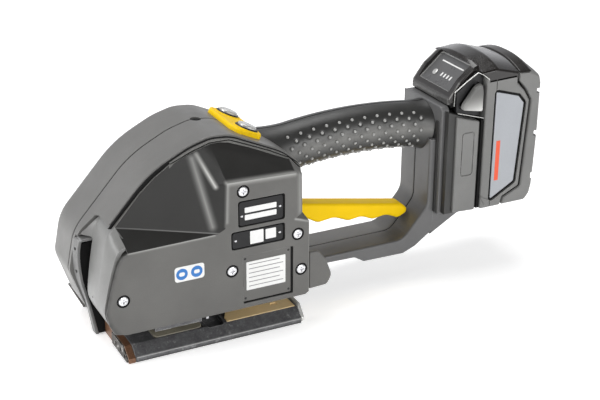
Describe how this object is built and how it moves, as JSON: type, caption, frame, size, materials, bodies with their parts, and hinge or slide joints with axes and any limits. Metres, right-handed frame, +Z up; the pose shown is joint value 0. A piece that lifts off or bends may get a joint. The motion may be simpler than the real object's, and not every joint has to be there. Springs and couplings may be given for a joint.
{
  "type": "battery strapping tool",
  "caption": "Hand-held battery tool that tensions and friction-welds plastic strap, with a long foot plate, grip loop, clamping lever and slide-on battery pack.",
  "frame": {"origin": "middle of the foot plate's underside, on the seam plane of the two housing halves", "axes": "+X from the nose to the battery, +Z up, the strap goes in from -Y"},
  "size_m": [0.4057, 0.105, 0.1777],
  "materials": {
    "housing": "fine textured, satin",
    "cover": "fine textured, satin",
    "black_plastic": "satin",
    "gloss_black": "polished",
    "pack": "fine textured, satin",
    "yellow": "semi-gloss",
    "button": "satin",
    "label": "printed foil",
    "pack_label": "printed foil",
    "gauge": "printed membrane",
    "dark_steel": "blackened and worn",
    "steel": "zinc plated",
    "brass": "ground",
    "alloy": "as cast",
    "cells": "wrapped cells",
    "board": "solder mask"
  },
  "bodies": {
    "housing": {"housing_near": "housing", "housing_far": "housing", "side_cover": "cover", "name_plate": "black_plastic", "marking_plate": "black_plastic", "data_plate": "label", "safety_label": "label", "cover_screw_1": "steel", "cover_screw_2": "steel", "cover_screw_3": "steel", "cover_screw_4": "steel", "cover_screw_5": "steel", "cover_gasket": "black_plastic", "nose_cover": "cover", "front_guard": "dark_steel", "base_plate": "dark_steel", "weld_anvil": "dark_steel", "feed_anvil": "brass", "front_edge_plate": "steel", "rear_edge_plate": "steel", "rear_guard": "cover", "main_frame": "alloy", "tension_gearbox": "alloy", "tension_motor": "steel", "weld_motor": "steel", "eccentric_bearing": "steel", "cutter_blade": "steel", "circuit_board": "board", "lever_pin": "steel", "lever_spring": "steel", "button_panel": "yellow", "tension_button_ring": "black_plastic", "weld_button_ring": "black_plastic", "battery_receiver": "housing", "contact_block": "black_plastic"},
    "lever": {"lever": "yellow"},
    "rocker": {"rocker": "alloy", "lift_pin": "steel", "rocker_bearing": "steel", "wheel_bearing": "steel"},
    "tension_drive": {"drive_gear": "steel", "drive_shaft": "steel"},
    "tension_wheel": {"tension_wheel": "steel", "wheel_shaft": "steel", "wheel_gear": "alloy"},
    "weld_shoe": {"weld_shoe": "dark_steel"},
    "eccentric": {"eccentric_shaft": "steel"},
    "tension_button": {"tension_button": "button"},
    "weld_button": {"weld_button": "button"},
    "battery_pack": {"pack_case": "pack", "pack_tail": "pack", "pack_head": "gloss_black", "cell_block": "cells", "gauge_panel": "gauge", "pack_label_near": "pack_label", "pack_label_far": "pack_label"},
    "release_near": {"release_button_near": "button"},
    "release_far": {"release_button_far": "button"},
    "gauge_button": {"gauge_button": "button"}
  },
  "joints": [
    {"name": "lever_lift", "type": "hinge", "parent": "housing", "child": "lever", "pos_m": [0.03, 0, 0.082], "axis": [0, -1, 0], "range_deg": [0, 14], "stiffness_Nm_per_rad": 4, "springref_deg": -11.46},
    {"name": "rocker_lift", "type": "hinge", "parent": "housing", "child": "rocker", "pos_m": [0.00562, 0, 0.06223], "axis": [0, -1, 0], "range_deg": [0, 8.4]},
    {"name": "drive_spin", "type": "hinge", "parent": "rocker", "child": "tension_drive", "pos_m": [0.00562, 0, 0.06223], "axis": [0, 1, 0], "continuous": true},
    {"name": "wheel_spin", "type": "hinge", "parent": "rocker", "child": "tension_wheel", "pos_m": [0.039, 0, 0.03], "axis": [0, 1, 0], "continuous": true},
    {"name": "shoe_oscillation", "type": "slide", "parent": "housing", "child": "weld_shoe", "axis": [0, 1, 0], "range_m": [-0.0015, 0.0015]},
    {"name": "eccentric_spin", "type": "hinge", "parent": "housing", "child": "eccentric", "pos_m": [-0.032, -0.045, 0.05], "axis": [0, 0, 1], "continuous": true},
    {"name": "tension_button_press", "type": "slide", "parent": "housing", "child": "tension_button", "axis": [-0.4226, 0, -0.9063], "range_m": [0, 0.002], "stiffness_N_per_m": 400},
    {"name": "weld_button_press", "type": "slide", "parent": "housing", "child": "weld_button", "axis": [-0.4226, 0, -0.9063], "range_m": [0, 0.002], "stiffness_N_per_m": 400},
    {"name": "battery_slide", "type": "slide", "parent": "housing", "child": "battery_pack", "axis": [0, 0, 1], "range_m": [0, 0.065]},
    {"name": "release_near_press", "type": "slide", "parent": "battery_pack", "child": "release_near", "axis": [0, 1, 0], "range_m": [0, 0.003], "stiffness_N_per_m": 400},
    {"name": "release_far_press", "type": "slide", "parent": "battery_pack", "child": "release_far", "axis": [0, -1, 0], "range_m": [0, 0.003], "stiffness_N_per_m": 400},
    {"name": "gauge_button_press", "type": "slide", "parent": "battery_pack", "child": "gauge_button", "axis": [0.6456, 0, -0.7637], "range_m": [0, 0.0008], "stiffness_N_per_m": 400}
  ],
  "couplings": [
    {"joint": "rocker_lift", "follows": "lever_lift", "ratio": 0.6},
    {"joint": "wheel_spin", "follows": "drive_spin", "ratio": -2.0833}
  ]
}
